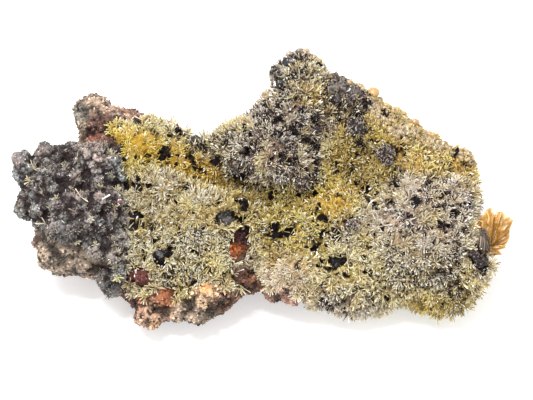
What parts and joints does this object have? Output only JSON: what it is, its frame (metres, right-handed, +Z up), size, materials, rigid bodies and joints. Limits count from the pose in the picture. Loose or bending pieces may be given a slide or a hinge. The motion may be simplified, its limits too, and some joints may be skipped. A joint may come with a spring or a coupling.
{
  "type": "mimetite specimen",
  "caption": "Hand-sized piece of gossan rock overgrown with yellow mimetite needle tufts, dark botryoidal oxide balls and an orange crystal fan, lying on a flat trimmed foot",
  "frame": {"origin": "on the resting plane, under the middle of the specimen's bounding box", "axes": "+X along the specimen's length from the dark mass to the orange fan, +Y back towards the peak, +Z up from the flat foot"},
  "size_m": [0.1218, 0.0678, 0.0372],
  "materials": {
    "gossan_rock": "matte",
    "dark_oxide": "matte",
    "yellow_needles": "satin",
    "orange_blades": "gloss"
  },
  "bodies": {
    "root": {"matrix": "gossan_rock", "botryoidal_mass": "dark_oxide", "peak_botryoids": "dark_oxide", "dark_dome_saddle": "dark_oxide", "dark_dome_upper": "dark_oxide", "dark_dome_right": "dark_oxide", "dark_dome_brow": "dark_oxide", "dark_dome_lower": "dark_oxide", "dark_dome_slope": "dark_oxide", "orange_sheaf": "orange_blades", "mimetite_crust": "yellow_needles"}
  },
  "joints": []
}
